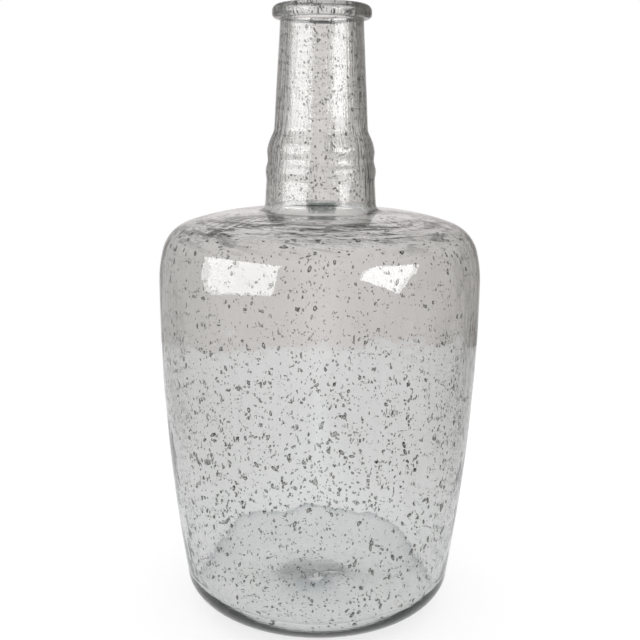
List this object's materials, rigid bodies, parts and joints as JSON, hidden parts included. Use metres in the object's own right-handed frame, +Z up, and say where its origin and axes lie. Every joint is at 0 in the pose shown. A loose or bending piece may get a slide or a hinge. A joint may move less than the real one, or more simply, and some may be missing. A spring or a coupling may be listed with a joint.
{
  "type": "bottle vase",
  "caption": "Tall bottle vase of clear seeded glass: wide tapering body with a rounded shoulder, slim neck with soft swellings, and a thick rounded lip. It stands on a flat ring.",
  "frame": {"origin": "middle of the plane of the standing ring, on the axis of the vase", "axes": "+Z up along the axis of the vase; the picture looks along +Y with +X to the right"},
  "size_m": [0.2234, 0.2234, 0.4198],
  "materials": {
    "seeded_glass": "clear glass with a pale grey cast, glossy, full of small bubbles"
  },
  "bodies": {
    "root": {"body": "seeded_glass", "neck": "seeded_glass", "lip_ring": "seeded_glass"}
  },
  "joints": []
}
